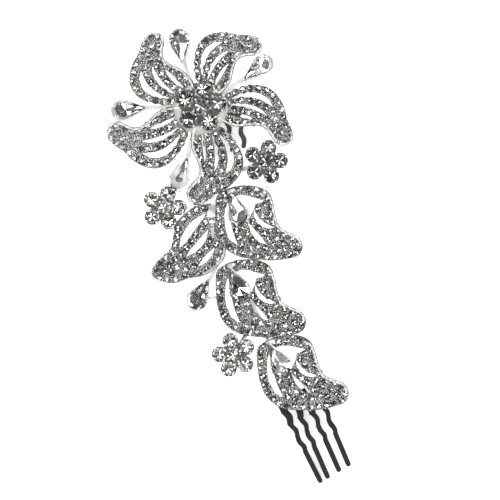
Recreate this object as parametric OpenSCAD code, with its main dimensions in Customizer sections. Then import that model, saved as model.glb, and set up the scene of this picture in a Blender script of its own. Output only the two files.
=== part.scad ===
// Bridal hair comb: a pierced lily and four trailing leaves in silver-plated metal,
// set with crystals and carried on two small black combs.
// It lies on its back. +Z is its face, +Y is the end with the lily.

/* [Castings] */
// Thickness of the cast petals and leaves
cast_t = 1; // [0.9:0.1:1.4]
// Height of the disc's top above the surface that the piece lies on
disc_top = 7.4; // [7:0.1:8]
// Radius of the disc under the centre stones
disc_r = 8.2; // [7.6:0.1:8.8]
// Thickness of the disc
disc_t = 1.2; // [1:0.1:1.6]
// Height of a petal's highest point above the surface
petal_crest = 10.2; // [9.4:0.1:11]
// Height of a leaf's highest point above the surface
leaf_crest = 8.4; // [7.8:0.1:9]

/* [Stones] */
// Diameter of the six centre stones
centre_d = 5.5; // [5:0.1:5.5]
// Distance of the five outer centre stones from the middle one
centre_ring = 5.75; // [5.7:0.05:6]
// Diameter of the stones in the florets
floret_d = 4.7; // [4.2:0.1:4.7]
// Distance of a floret's outer stones from its middle one
floret_ring = 4.85; // [4.85:0.05:5.2]
// Length of a pear-shaped drop
drop_l = 11.8; // [11:0.1:12.2]
// Width of a pear-shaped drop
drop_w = 6.8; // [6:0.1:7]
// Metal of a setting outside its stone
setting_wall = 0.25; // [0.2:0.05:0.4]

/* [Combs] */
// Distance between the roots of neighbouring teeth
tooth_pitch = 4.28; // [4.1:0.02:4.4]
// Distance between the tips of neighbouring teeth
tip_pitch = 3.6; // [3.4:0.1:4]
// Length of the lower comb's teeth from the middle of the spine
tooth_l = 28; // [26:0.5:30]
// Length of the upper comb's teeth
short_tooth_l = 12.1; // [11:0.1:14]
// Width of a tooth
tooth_w = 1.7; // [1.5:0.1:2]
// Width of the comb's spine
spine_w = 2.6; // [2.2:0.1:3]
// Thickness of the comb's metal
comb_t = 1.2; // [1:0.1:1.4]
// Sideways swing of the zigzag in a tooth
zigzag = 0.34; // [0.2:0.02:0.4]
// Length of one wave of the zigzag
wave_l = 5.3; // [4.6:0.1:6]

/* [Hidden] */

silver = [0.86, 0.87, 0.88];
enamel = [0.09, 0.09, 0.1];
crystal = [0.82, 0.88, 0.95];

// The move that puts the origin under the middle of the whole piece
centring = [0.3, -0.2, 0];
// The flower's middle in plan
flower = [-9.5, 49.7];
disc_sides = 40;
// Sides of the patches that a casting's curved surface is built from
patch = 3.8;
patch_wide = 4.9;
// Height above every casting, for the plan cuts
tall = 40;
// Steps between neighbouring points of an outline and of a slot
outline_steps = 2;
slot_steps = 1;

// A petal's outline, in its own frame: x runs out from the flower's middle
petal_outline = [
    [4.5, 2], [6.3, 7.6], [10, 11.7], [14, 14.6], [18, 15.5], [22, 14.4], [26, 11.2],
    [28.3, 7.7], [31, 4.9], [32.6, 2], [31.4, -1], [29, -2.1], [26.4, -1.1], [24, 0.8],
    [21.3, 1.6], [18, 0.5], [14.5, -1.5], [10.5, -2.2], [6.5, -1.8]
];
// One row for each slot of a petal: the points of its middle line, its greatest width
petal_slots = [
    [[[8.3, 6.6], [11, 9.1], [14, 10.8], [17, 11.4], [20, 10.9], [22.4, 9.8]], 2.1],
    [[[8.6, 4.4], [11, 5.7], [14, 6.5], [17, 6.8], [19.6, 6.6], [21.8, 6]], 1.3],
    [[[8.8, 1.2], [11, 2], [13.5, 2.5], [16, 2.9], [18.4, 3]], 1.2]
];
// One row for each petal: direction, reach, spread, height of its tip's underside
petal_rows = [
    [-22, 1, 0.93, 3.4],
    [47, 0.93, 0.97, 0],
    [122.5, 0.93, 1.05, 0],
    [-166.4, 1.01, 1.07, 0],
    [-95.2, 1, 1.03, 3.2]
];
// Where a petal starts to rise, where it is highest and how far out its tip is
petal_root_x = 4;
petal_crest_x = 16;
petal_tip_x = 32;
// How far a petal's root stands out of the disc
petal_root_rise = 0.3;
// Middle of a petal's width, and how much its edges fall below it
petal_mid_y = 6.5;
petal_half_w = 9;
petal_edge_fall = 1.8;

// A trailing leaf's outline, in its own frame: the origin is at the drop's point
leaf_outline = [
    [-2.6, 0.3], [-4.5, -1.6], [-4.8, -5], [-4.7, -9], [-4.2, -13], [-2.7, -17.4],
    [0.2, -20.7], [3.9, -22.5], [9, -23.3], [15, -23.5], [20.6, -22.7], [24.2, -21.4],
    [25.5, -18.3], [24, -15], [20.4, -13.3], [17.4, -11.6], [15.9, -8], [15, -3.5],
    [13.3, 0.4], [9.5, 2.3], [4.5, 2.6], [0.6, 1.8]
];
leaf_slots = [
    [[[-0.6, -3.6], [-0.7, -8], [-0.1, -12.5], [1.4, -16.4], [3.4, -18.6]], 2.3],
    [[[6.6, -10.2], [8.2, -13.3], [9.8, -15.2], [11.3, -16.7], [12.8, -17.8]], 1.9],
    [[[8.4, -6], [9.1, -8.2], [10.2, -9.9], [11.8, -11], [13.6, -11.7], [15.6, -11.9]], 1.6]
];
// The open window of a trailing leaf, round its drop
leaf_window = [
    [1.8, -1.4], [5.7, -0.9], [9.6, -2], [11.8, -2.6], [10.5, -3.4], [8.8, -3.8],
    [8.4, -5.4], [7, -8.6], [5, -10.6], [3, -10.6], [1.6, -8], [0.8, -4]
];
// One row for each trailing leaf: x, y, turn, reach, spread
leaf_rows = [
    [0.3, 21.3, -2, 0.98, 0.95],
    [0.3, -3.7, 0, 1, 1],
    [13.7, -29.3, 3.7, 0.99, 0.98]
];
// The dome of a leaf: its middle, and how far it falls at a distance along and across
leaf_mid = [9, -11];
leaf_fall = [1.6, 2.2];
leaf_half = [15, 13];

// The side leaf's outline in plan
side_leaf_outline = [
    [-6, 17.4], [-11.4, 16.4], [-15.4, 13.6], [-18, 10.4], [-18.6, 6.6], [-19.4, 2.6],
    [-22.4, -0.2], [-25.4, -3.6], [-25.7, -6.8], [-22.4, -8.5], [-18.2, -9.1],
    [-13.2, -7.4], [-8.8, -6.7], [-4.6, -4.2], [-1.6, -0.4], [-0.8, 5], [-1.4, 11], [-2.4, 16]
];
side_leaf_slots = [
    [[[-7.8, 14], [-10.6, 11.6], [-13.2, 8.6], [-15.2, 5.2], [-16.4, 2.8]], 2.6],
    [[[-6.9, 9], [-8.3, 6], [-10, 3.8], [-12, 1.8], [-14.4, -0.4]], 2.1],
    [[[-4.8, 2.8], [-6.6, 0.3], [-8.2, -1.5], [-10.4, -3.6]], 1.7]
];
side_leaf_mid = [-11, 4];

// One row for each drop that stands free of a leaf: x and y of its point, direction
free_drop_rows = [
    [-15.2, 63.7, 98.7],
    [4.7, 58.7, 36.4],
    [-27.3, 49.5, 187.5],
    [-13.7, 33, 248.2],
    [-6.5, -7.3, 240.3]
];
// Direction of a leaf's own drop in the leaf's frame
leaf_drop_turn = -66.5;
drop_rows = concat(
    free_drop_rows,
    [for (row = leaf_rows) [row[0], row[1], row[2] + leaf_drop_turn]]
);
// Heights of the girdles of the drops and of the florets' outer stones, lift of the middle ones
drop_girdle_z = 8.6;

// One row for each floret: x, y, direction of its first stone
floret_rows = [
    [12.2, 31.3, 6],
    [-21.7, 16, 2],
    [1.7, -33, 33]
];
floret_girdle_z = 9;
floret_lift = 0.9;

// The centre stones: direction that the outer ones start from, girdle height, lift of the middle one
centre_turn = 83;
centre_girdle_z = 9.4;
centre_lift = 1.2;

// Heights of a cut stone over its width
crown_share = 0.17;
girdle_share = 0.06;
pavilion_share = 0.28;
table_share = 0.56;
culet_share = 0.06;
// Distance of a drop's table middle from its round end, over its width
drop_middle_share = 0.62;
round_sides = 8;
drop_arc_steps = 8;
// Clearance round each stone and comb, and how high above a stone the metal is cut away
clearance = 0.12;
seat_over = 4;
setting_sides = 10;
// Underside of the settings of the drops and florets
setting_base_z = 6.2;

// The backbone under the leaves, from the disc to the last leaf
backbone = [[-8, 43], [-6, 30], [-5.8, 18], [-5, 6], [-0.8, -2.4], [6, -14], [11, -23], [14.5, -32]];
backbone_w = 2.4;
// Underside and top of the backbone and stems
backbone_z = [5, 6.6];
bar_sides = 8;
// One row for each stem: start, end, width
stem_rows = [
    [[-9.5, 49.7], [-15.4, 66], 1.6],
    [[-9.5, 49.7], [5.6, 59.4], 1.6],
    [[-9.5, 49.7], [-29, 49.4], 1.6],
    [[-9.5, 49.7], [-14.4, 31.6], 1.6],
    [[-5.4, 26], [12.2, 31.3], 1.6],
    [[-5.2, 17], [-21.7, 16], 1.6],
    [[-5.2, 14], [-10, 8], 2],
    [[-5, 4], [-11, 0], 2],
    [[-2.6, 0], [-7.2, -8.8], 1.6],
    [[-7.2, -13.9], [-3.4, -13.8], 0.9],
    [[9.4, -20], [1.7, -33], 1.6],
    [[-5.4, 22], [1, 20], 2],
    [[1, -5], [5, -22], 2],
    [[14.5, -32], [20, -48], 2],
    [[14.5, -32], [27, -44], 2]
];

// One row for each comb: x and y of its spine's middle, direction of the spine,
// length of its teeth, places of its clips along the spine, midway between leaning teeth
clip_shift = -0.45;
lower_comb = [23.5, -47, 30.5, tooth_l, [clip_shift - tooth_pitch, clip_shift + tooth_pitch]];
upper_comb = [-3.1, 46.1, 18.2, short_tooth_l, [clip_shift - tooth_pitch, clip_shift]];
teeth = 4;
// How far all tips lean sideways, and how far each one is bent besides
tooth_lean = -2.9;
tooth_bend = [0, -0.8, 0, 0.1];
// Height of the middle of the metal at a spine and at the lower comb's tips
comb_spine_z = 3.9;
comb_tip_z = 0.6;
// Where the waves of a tooth start and end, the length they fade over, the steps in one wave
wave_start = 2.8;
waved_l = 17;
wave_fade = 2;
wave_steps = 6;
// Steps in the bow of a comb, and the length that its spine has past the end teeth
bow_steps = 12;
spine_over = 0.6;
// The clips that hold a comb's spine: length, metal round the spine
clip_l = 1.6;
clip_wall = 0.8;

// A point on a smooth curve through b and c, with a and d before and after them
function curve_point(a, b, c, d, t) =
    0.5 * (2 * b + (c - a) * t + (2 * a - 5 * b + 4 * c - d) * t * t
        + (3 * b - a - 3 * c + d) * t * t * t);

// A closed smooth curve through the points
function closed_curve(p, steps) = let (n = len(p)) [
    for (i = [0 : n - 1])
        for (s = [0 : steps - 1])
            curve_point(p[(i + n - 1) % n], p[i], p[(i + 1) % n], p[(i + 2) % n], s / steps)
];

// An open smooth curve through the points, ends included
function open_curve(p, steps) = let (n = len(p)) concat(
    [for (i = [0 : n - 2])
        for (s = [0 : steps - 1])
            curve_point(p[max(i - 1, 0)], p[i], p[i + 1], p[min(i + 2, n - 1)], s / steps)],
    [p[n - 1]]
);

function unit(v) = v / norm(v);
function left_of(v) = [-v[1], v[0]];

// The outline of a slot that is pointed at both ends and widest in its middle
function slot_shape(path, width) = let (
    line = open_curve(path, slot_steps),
    last = len(line) - 1,
    side = [for (i = [0 : last]) left_of(unit(line[min(i + 1, last)] - line[max(i - 1, 0)]))
        * width / 2 * pow(sin(180 * i / last), 0.6)]
) concat(
    [for (i = [0 : last]) line[i] + side[i]],
    [for (i = [last - 1 : -1 : 1]) line[i] - side[i]]
);

// Points of an outline, scaled along and across, turned and moved in plan
function placed(points, at, turn, scale = [1, 1]) = [
    for (p = points) let (x = p[0] * scale[0], y = p[1] * scale[1])
        [at[0] + x * cos(turn) - y * sin(turn), at[1] + x * sin(turn) + y * cos(turn)]
];

// A smooth step from 0 to 1 as t goes from 0 to 1
function smooth(t) = let (s = min(1, max(0, t))) s * s * (3 - 2 * s);

// Height of a petal's top at x along it and y across it
function petal_top(x, y, tip_z) = let (
    root = disc_top + petal_root_rise,
    climb = smooth((x - petal_root_x) / (petal_crest_x - petal_root_x)),
    out = max(0, (x - petal_crest_x) / (petal_tip_x - petal_crest_x)),
    along = root + (petal_crest - root) * climb - (petal_crest - cast_t - tip_z) * pow(out, 1.7),
    across = petal_edge_fall * pow((y - petal_mid_y) / petal_half_w, 2) * climb * max(0, 1 - out)
) along - across;

function leaf_top(x, y) = leaf_crest
    - leaf_fall[0] * pow((x - leaf_mid[0]) / leaf_half[0], 2)
    - leaf_fall[1] * pow((y - leaf_mid[1]) / leaf_half[1], 2);

function side_leaf_top(x, y) = leaf_crest
    - leaf_fall[0] * pow((x - side_leaf_mid[0]) / leaf_half[0], 2)
    - leaf_fall[1] * pow((y - side_leaf_mid[1]) / leaf_half[1], 2);

// A curved sheet over the box from low to high, whose top follows the given heights
module sheet(low, high, heights, thickness) {
    nx = len(heights) - 1;
    ny = len(heights[0]) - 1;
    row = ny + 1;
    level = (nx + 1) * row;
    points = [
        for (drop = [0, thickness])
            for (i = [0 : nx])
                for (j = [0 : ny])
                    [low[0] + (high[0] - low[0]) * i / nx, low[1] + (high[1] - low[1]) * j / ny,
                        heights[i][j] - drop]
    ];
    tops = [for (i = [0 : nx - 1]) for (j = [0 : ny - 1]) let (a = i * row + j)
        each [[a, a + 1, a + row + 1], [a, a + row + 1, a + row]]];
    bottoms = [for (f = tops) [f[2] + level, f[1] + level, f[0] + level]];
    ends = [for (j = [0 : ny - 1]) let (a = j, b = nx * row + j)
        each [[a, a + level, a + level + 1, a + 1], [b, b + 1, b + level + 1, b + level]]];
    sides = [for (i = [0 : nx - 1]) let (a = i * row, b = i * row + ny)
        each [[a, a + row, a + row + level, a + level], [b, b + level, b + level + row, b + row]]];
    polyhedron(points, concat(tops, bottoms, ends, sides));
}

// One petal, placed by its row
module petal(row) {
    scale_xy = [row[1], row[2]];
    low = [3, -5];
    high = [35, 19];
    nx = round((high[0] - low[0]) / patch);
    ny = round((high[1] - low[1]) / patch_wide);
    heights = [for (i = [0 : nx]) [for (j = [0 : ny])
        petal_top((low[0] + (high[0] - low[0]) * i / nx) / row[1],
            (low[1] + (high[1] - low[1]) * j / ny) / row[2], row[3])]];
    translate([flower[0], flower[1], 0])
        rotate(row[0])
            intersection() {
                linear_extrude(tall)
                    difference() {
                        polygon(placed(closed_curve(petal_outline, outline_steps), [0, 0], 0, scale_xy));
                        for (slot = petal_slots)
                            polygon(placed(slot_shape(slot[0], slot[1]), [0, 0], 0, scale_xy));
                    }
                sheet(low, high, heights, cast_t);
            }
}

// One trailing leaf, placed by its row
module trailing_leaf(row) {
    low = [-7, -26];
    high = [28, 5];
    nx = round((high[0] - low[0]) / patch_wide);
    ny = round((high[1] - low[1]) / patch_wide);
    heights = [for (i = [0 : nx]) [for (j = [0 : ny])
        leaf_top(low[0] + (high[0] - low[0]) * i / nx, low[1] + (high[1] - low[1]) * j / ny)]];
    translate([row[0], row[1], 0])
        rotate(row[2])
            intersection() {
                linear_extrude(tall)
                    scale([row[3], row[4]])
                        difference() {
                            polygon(closed_curve(leaf_outline, outline_steps));
                            polygon(closed_curve(leaf_window, slot_steps));
                            for (slot = leaf_slots)
                                polygon(slot_shape(slot[0], slot[1]));
                        }
                sheet(low, high, heights, cast_t);
            }
}

// The leaf beside the backbone
module side_leaf() {
    low = [-28, -12];
    high = [1, 20];
    nx = round((high[0] - low[0]) / patch_wide);
    ny = round((high[1] - low[1]) / patch_wide);
    heights = [for (i = [0 : nx]) [for (j = [0 : ny])
        side_leaf_top(low[0] + (high[0] - low[0]) * i / nx, low[1] + (high[1] - low[1]) * j / ny)]];
    intersection() {
        linear_extrude(tall)
            difference() {
                polygon(closed_curve(side_leaf_outline, outline_steps));
                for (slot = side_leaf_slots)
                    polygon(slot_shape(slot[0], slot[1]));
            }
        sheet(low, high, heights, cast_t);
    }
}

// The outline of a drop of the given length and width, its point at the origin
function drop_shape(length, width) = let (r = width / 2, tangent = acos(r / (length - r))) concat(
    [[0, 0]],
    [for (i = [0 : drop_arc_steps]) let (a = -(180 - tangent) + i * (360 - 2 * tangent) / drop_arc_steps)
        [length - r + r * cos(a), r * sin(a)]]
);

function round_shape(d, sides) = [
    for (i = [0 : sides - 1]) d / 2 * [cos(360 * i / sides), sin(360 * i / sides)]
];

// A ring of points: the outline drawn in towards a middle point, at height z
function ring(shape, middle, share, z) = [
    for (p = shape) let (q = middle + (p - middle) * share) [q[0], q[1], z]
];

// A faceted stone whose girdle is the given outline, centred in height on its girdle
module cut_stone(shape, middle, width) {
    n = len(shape);
    crown = width * crown_share;
    girdle = width * girdle_share / 2;
    rings = [
        ring(shape, middle, culet_share, -girdle - width * pavilion_share),
        ring(shape, middle, 1, -girdle),
        ring(shape, middle, 1, girdle),
        ring(shape, middle, table_share, girdle + crown)
    ];
    walls = [for (k = [0 : 2]) for (i = [0 : n - 1]) let (a = k * n + i, b = k * n + (i + 1) % n)
        each [[a, b + n, b], [a, a + n, b + n]]];
    polyhedron([for (r = rings) each r],
        concat([[for (i = [0 : n - 1]) i]], walls, [[for (i = [n - 1 : -1 : 0]) 3 * n + i]]));
}

// The drop's middle, that its facets run in to
function drop_middle(length, width) = [length - width * drop_middle_share, 0];

module round_stone(d) {
    cut_stone(round_shape(d, round_sides), [0, 0], d);
}

module drop_stone() {
    cut_stone(drop_shape(drop_l, drop_w), drop_middle(drop_l, drop_w), drop_w);
}

// Metal under and round a stone: a wall as high as the stone's girdle
module post(shape, middle, width, base_z) {
    wall = 1 + 2 * (clearance + setting_wall) / width;
    translate([0, 0, base_z])
        linear_extrude(-width * girdle_share / 2 - base_z)
            polygon([for (p = shape) middle + (p - middle) * wall]);
}

// The tapered hollow that a stone sits in, cut clear above it
module seat(shape, middle, width) {
    n = len(shape);
    gap = 2 * clearance / width;
    top = -width * girdle_share / 2;
    rings = [
        ring(shape, middle, culet_share + gap, top - width * pavilion_share - clearance),
        ring(shape, middle, 1 + gap, top),
        ring(shape, middle, 1 + gap, top + seat_over)
    ];
    walls = [for (k = [0 : 1]) for (i = [0 : n - 1]) let (a = k * n + i, b = k * n + (i + 1) % n)
        each [[a, b + n, b], [a, a + n, b + n]]];
    polyhedron([for (r = rings) each r],
        concat([[for (i = [0 : n - 1]) i]], walls, [[for (i = [n - 1 : -1 : 0]) 2 * n + i]]));
}

// Places of the six centre stones: x, y, height of the girdle
function centre_place(i) = i == 0
    ? [flower[0], flower[1], centre_girdle_z + centre_lift]
    : [flower[0] + centre_ring * cos(centre_turn + 72 * i),
        flower[1] + centre_ring * sin(centre_turn + 72 * i), centre_girdle_z];

// Places of a floret's six stones
function floret_place(row, i) = i == 0
    ? [row[0], row[1], floret_girdle_z + floret_lift]
    : [row[0] + floret_ring * cos(row[2] + 72 * i),
        row[1] + floret_ring * sin(row[2] + 72 * i), floret_girdle_z];

module centre_stone(i) {
    color(crystal)
        translate(centring + centre_place(i))
            round_stone(centre_d);
}

module floret_stone(row, i) {
    color(crystal)
        translate(centring + floret_place(row, i))
            round_stone(floret_d);
}

module drop(row) {
    color(crystal)
        translate(centring + [row[0], row[1], drop_girdle_z])
            rotate(row[2])
                drop_stone();
}

// A flat bar with round ends between two points in plan
module bar(a, b, width, low, high) {
    hull()
        for (p = [a, b])
            translate([p[0], p[1], low])
                cylinder(h = high - low, d = width, $fn = bar_sides);
}

module backbone_bars() {
    for (i = [0 : len(backbone) - 2])
        bar(backbone[i], backbone[i + 1], backbone_w, backbone_z[0], backbone_z[1]);
    for (row = stem_rows)
        bar(row[0], row[1], row[2], backbone_z[0], backbone_z[1]);
}

// The posts under all stones
module posts() {
    for (i = [0 : 5])
        let (place = centre_place(i))
            translate(place)
                post(round_shape(centre_d, setting_sides), [0, 0], centre_d, disc_top - disc_t / 2 - place[2]);
    for (row = floret_rows)
        for (i = [0 : 5])
            let (place = floret_place(row, i))
                translate(place)
                    post(round_shape(floret_d, setting_sides), [0, 0], floret_d, setting_base_z - place[2]);
    for (row = drop_rows)
        translate([row[0], row[1], drop_girdle_z])
            rotate(row[2])
                post(drop_shape(drop_l, drop_w), drop_middle(drop_l, drop_w), drop_w,
                    setting_base_z - drop_girdle_z);
}

// The hollows for all stones
module seats() {
    for (i = [0 : 5])
        translate(centre_place(i))
            seat(round_shape(centre_d, round_sides), [0, 0], centre_d);
    for (row = floret_rows)
        for (i = [0 : 5])
            translate(floret_place(row, i))
                seat(round_shape(floret_d, round_sides), [0, 0], floret_d);
    for (row = drop_rows)
        translate([row[0], row[1], drop_girdle_z])
            rotate(row[2])
                seat(drop_shape(drop_l, drop_w), drop_middle(drop_l, drop_w), drop_w);
}

// Clips from the silver frame down round a comb's spine
module clips(comb) {
    low = comb_spine_z - comb_t / 2 - clip_wall;
    translate([comb[0], comb[1], 0])
        rotate(comb[2])
            for (x = comb[4])
                difference() {
                    translate([x - clip_l / 2, -spine_w / 2 - clip_wall, low])
                        cube([clip_l, spine_w + 2 * clip_wall, disc_top - disc_t / 2 - low]);
                    translate([x - clip_l, -spine_w / 2 - clearance, low + clip_wall - clearance])
                        cube([2 * clip_l, spine_w + 2 * clearance, comb_t + 2 * clearance]);
                }
}

module silver_frame() {
    color(silver)
        translate(centring)
            difference() {
                union() {
                    translate([flower[0], flower[1], disc_top - disc_t])
                        cylinder(h = disc_t, r = disc_r, $fn = disc_sides);
                    for (row = petal_rows)
                        petal(row);
                    for (row = leaf_rows)
                        trailing_leaf(row);
                    side_leaf();
                    backbone_bars();
                    posts();
                    clips(lower_comb);
                    clips(upper_comb);
                }
                seats();
            }
}

// Sideways place of a tooth's middle line at a distance from the spine
function tooth_x(k, l) = (k - (teeth - 1) / 2) * (tooth_pitch + (tip_pitch - tooth_pitch) * l / tooth_l)
    + (tooth_lean + tooth_bend[k]) * l / tooth_l
    + zigzag * sin(360 * (l - wave_start) / wave_l) * min(1, max(0, (waved_l - l) / wave_fade));

// The outline of a tooth of the given length: down its right side, round its tip and up its left side
function tooth_outline(k, length) = let (
    n = round(length / wave_l * wave_steps),
    straight = length - tooth_w / 2,
    root = spine_w / 2,
    middle = [for (i = [0 : n]) let (l = root + (straight - root) * i / n) [tooth_x(k, l), -l]]
) concat(
    [for (p = middle) p + [tooth_w / 2, 0]],
    [for (a = [-30 : -30 : -150]) middle[n] + tooth_w / 2 * [cos(a), sin(a)]],
    [for (i = [n : -1 : 0]) middle[i] - [tooth_w / 2, 0]]
);

// Height of a comb's middle at a distance from its spine
function bow_z(l) = comb_spine_z - (comb_spine_z - comb_tip_z) * pow(l / tooth_l, 2);

// A bowed sheet as thick as a comb, seen from its side and drawn out across the teeth
module bow_sheet() {
    reach = tooth_l + spine_w;
    levels = [for (i = [-1 : bow_steps]) let (l = reach * i / bow_steps) [-l, bow_z(max(l, 0))]];
    rotate([90, 0, 90])
        linear_extrude(2 * tooth_l, center = true)
            polygon(concat(
                [for (p = levels) p + [0, comb_t / 2]],
                [for (i = [len(levels) - 1 : -1 : 0]) levels[i] - [0, comb_t / 2]]
            ));
}

// The points in the other order, so that the outline runs on from tooth to tooth
function reversed(points) = [for (i = [len(points) - 1 : -1 : 0]) points[i]];

// A four-toothed comb, bowed along its teeth
module comb(place) {
    half_l = ((teeth - 1) * tooth_pitch + tooth_w + spine_over) / 2;
    half_w = spine_w / 2;
    color(enamel)
        translate(centring + [place[0], place[1], 0])
            rotate(place[2])
                intersection() {
                    linear_extrude(comb_spine_z + comb_t)
                        polygon(concat(
                            [[half_l, -half_w], [half_l, half_w], [-half_l, half_w], [-half_l, -half_w]],
                            [for (k = [0 : teeth - 1]) each reversed(tooth_outline(k, place[3]))]
                        ));
                    bow_sheet();
                }
}

module comb_lower() {
    comb(lower_comb);
}

module comb_upper() {
    comb(upper_comb);
}

silver_frame();
comb_lower();
comb_upper();
for (i = [0 : 5])
    centre_stone(i);
for (i = [0 : len(drop_rows) - 1])
    drop(drop_rows[i]);
for (f = [0 : len(floret_rows) - 1])
    for (i = [0 : 5])
        floret_stone(floret_rows[f], i);
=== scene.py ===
"""Looks of the bridal hair comb: a crystal lily with trailing leaves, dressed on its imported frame."""
import sys

import logging
import math
import random
from collections.abc import Callable
from dataclasses import dataclass, field, replace
from enum import Enum

import bpy
from mathutils import Matrix, Vector
from mathutils.bvhtree import BVHTree
from mathutils.kdtree import KDTree


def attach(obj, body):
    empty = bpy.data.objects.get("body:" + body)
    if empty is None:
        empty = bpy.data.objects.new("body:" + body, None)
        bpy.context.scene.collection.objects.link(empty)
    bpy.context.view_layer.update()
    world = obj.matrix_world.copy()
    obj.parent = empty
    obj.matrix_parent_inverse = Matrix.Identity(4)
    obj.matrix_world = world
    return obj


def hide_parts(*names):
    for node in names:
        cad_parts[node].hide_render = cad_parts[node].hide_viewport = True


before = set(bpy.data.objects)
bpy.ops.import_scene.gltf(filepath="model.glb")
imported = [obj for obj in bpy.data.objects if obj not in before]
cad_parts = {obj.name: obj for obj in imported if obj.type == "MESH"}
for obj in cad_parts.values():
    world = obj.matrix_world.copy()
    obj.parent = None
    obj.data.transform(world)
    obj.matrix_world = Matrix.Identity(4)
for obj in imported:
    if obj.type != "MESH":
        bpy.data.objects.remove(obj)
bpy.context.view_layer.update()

MM = 0.001
BODY = "root"
Point = tuple[float, float]
Place = tuple[float, float, float]
# New points for each span of the castings' outlines, and of every other line
OUTLINE_STEPS = 8
LINE_STEPS = 5
# Points of a CAD node's copy that are nearer to each other than this are one
MERGE = 0.01 * MM
# Edges sharper than the first angle are rounded, and faces that meet at less than the second look smooth
SHARP = math.radians(50)
SMOOTH = math.radians(35)
# A face whose normal rises more than this is level
LEVEL = 0.9
log = logging.getLogger("hair_comb")


class Slot(Enum):
    """The material slots of the record."""

    SILVER = "silver"
    ENAMEL = "black_enamel"
    CRYSTAL = "crystal"


# Outlines and curves


def curve_point(a: Point, b: Point, c: Point, d: Point, t: float) -> Point:
    """A point on the smooth curve from b to c.

    Args:
        a, b, c, d: Four neighbouring points of the curve.
        t: How far from b to c, from 0 to 1.

    Returns:
        The point in plan.
    """
    return tuple(
        0.5 * (2 * q + (r - p) * t + (2 * p - 5 * q + 4 * r - s) * t * t + (3 * q - p - 3 * r + s) * t**3)
        for p, q, r, s in zip(a, b, c, d)
    )


def closed_curve(points: list[Point], steps: int) -> list[Point]:
    """A closed smooth curve through the points.

    Args:
        points: The points, in order.
        steps: New points for each span.

    Returns:
        The points of the curve.
    """
    n = len(points)
    return [
        curve_point(points[i - 1], points[i], points[(i + 1) % n], points[(i + 2) % n], s / steps)
        for i in range(n)
        for s in range(steps)
    ]


def open_curve(points: list[Point], steps: int) -> list[Point]:
    """An open smooth curve through the points, ends included.

    Args:
        points: The points, in order.
        steps: New points for each span.

    Returns:
        The points of the curve.
    """
    last = len(points) - 1
    line = [
        curve_point(points[max(i - 1, 0)], points[i], points[i + 1], points[min(i + 2, last)], s / steps)
        for i in range(last)
        for s in range(steps)
    ]
    return line + [tuple(points[last])]


def square_to(a: Point, b: Point) -> Point:
    """The direction to the left of the line from a to b, square to it and 1 long."""
    length = math.dist(a, b) or 1
    return (-(b[1] - a[1]) / length, (b[0] - a[0]) / length)


def along(start: Point, way: Point, reach: float) -> Point:
    """The point at a distance from the start in a direction."""
    return (start[0] + way[0] * reach, start[1] + way[1] * reach)


def slot_shape(path: list[Point], width: float, fullness: float = 0.6) -> list[Point]:
    """The outline of a slot that is pointed at both ends and widest in its middle.

    Args:
        path: Points of its middle line.
        width: Its greatest width.
        fullness: How soon its width drops towards the ends; less is fuller.

    Returns:
        The points of the outline.
    """
    line = open_curve(path, LINE_STEPS)
    last = len(line) - 1
    left, right = [], []
    for i, p in enumerate(line):
        way = square_to(line[max(i - 1, 0)], line[min(i + 1, last)])
        half = width / 2 * max(math.sin(math.pi * i / last), 0) ** fullness
        left.append(along(p, way, half))
        right.append(along(p, way, -half))
    return left + right[last - 1 : 0 : -1]


def even_steps(loop: list[Point], step: float, closed: bool = True) -> list[Point]:
    """The same line with points at even distances.

    Args:
        loop: Points of the line.
        step: Distance between the new points.
        closed: Whether the last point joins the first one.

    Returns:
        The new points.
    """
    ring = loop + [loop[0]] if closed else list(loop)
    lengths = [math.dist(p, q) for p, q in zip(ring, ring[1:])]
    total = sum(lengths)
    count = max(3, round(total / step))
    result, k, walked = [], 0, 0.0
    for i in range(count if closed else count + 1):
        target = total * i / count
        while k < len(lengths) - 1 and walked + lengths[k] < target:
            walked += lengths[k]
            k += 1
        t = (target - walked) / lengths[k] if lengths[k] else 0
        p, q = ring[k], ring[k + 1]
        result.append((p[0] + (q[0] - p[0]) * t, p[1] + (q[1] - p[1]) * t))
    return result


def inside(point: Point, loop: list[Point]) -> bool:
    """Whether a point is inside a closed outline.

    Args:
        point: The point.
        loop: The outline.

    Returns:
        True if it is inside.
    """
    x, y = point
    within = False
    for (ax, ay), (bx, by) in zip(loop, loop[1:] + loop[:1]):
        if (ay > y) != (by > y) and x < (bx - ax) * (y - ay) / (by - ay) + ax:
            within = not within
    return within


# Work on meshes


def deselect() -> None:
    """Leaves nothing selected."""
    bpy.ops.object.select_all(action="DESELECT")


def select_only(*objects: bpy.types.Object) -> None:
    """Selects just these objects.

    Args:
        objects: The objects, of which the first becomes the active one.
    """
    deselect()
    for o in objects:
        o.select_set(True)
    bpy.context.view_layer.objects.active = objects[0]


def select_faces(obj: bpy.types.Object, wanted: Callable[[bpy.types.MeshPolygon], bool]) -> None:
    """In edit mode, selects the faces that a test accepts.

    Args:
        obj: The object in edit mode.
        wanted: Called with each face, returns True for a face to select.
    """
    bpy.ops.mesh.select_all(action="DESELECT")
    bpy.ops.object.mode_set(mode="OBJECT")
    for face in obj.data.polygons:
        face.select = wanted(face)
    bpy.ops.object.mode_set(mode="EDIT")


def apply_modifier(obj: bpy.types.Object, kind: str, **settings) -> None:
    """Adds one modifier and applies it.

    Args:
        obj: The object to change.
        kind: Blender's name for the kind of modifier.
        settings: Values of the modifier.
    """
    select_only(obj)
    modifier = obj.modifiers.new(kind.title(), kind)
    for name, value in settings.items():
        setattr(modifier, name, value)
    bpy.ops.object.modifier_apply(modifier=modifier.name)


def extrude(x: float, y: float, z: float) -> None:
    """Extrudes the selected faces by a distance, in edit mode."""
    bpy.ops.mesh.extrude_region_move(TRANSFORM_OT_translate={"value": (x, y, z)})


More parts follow.
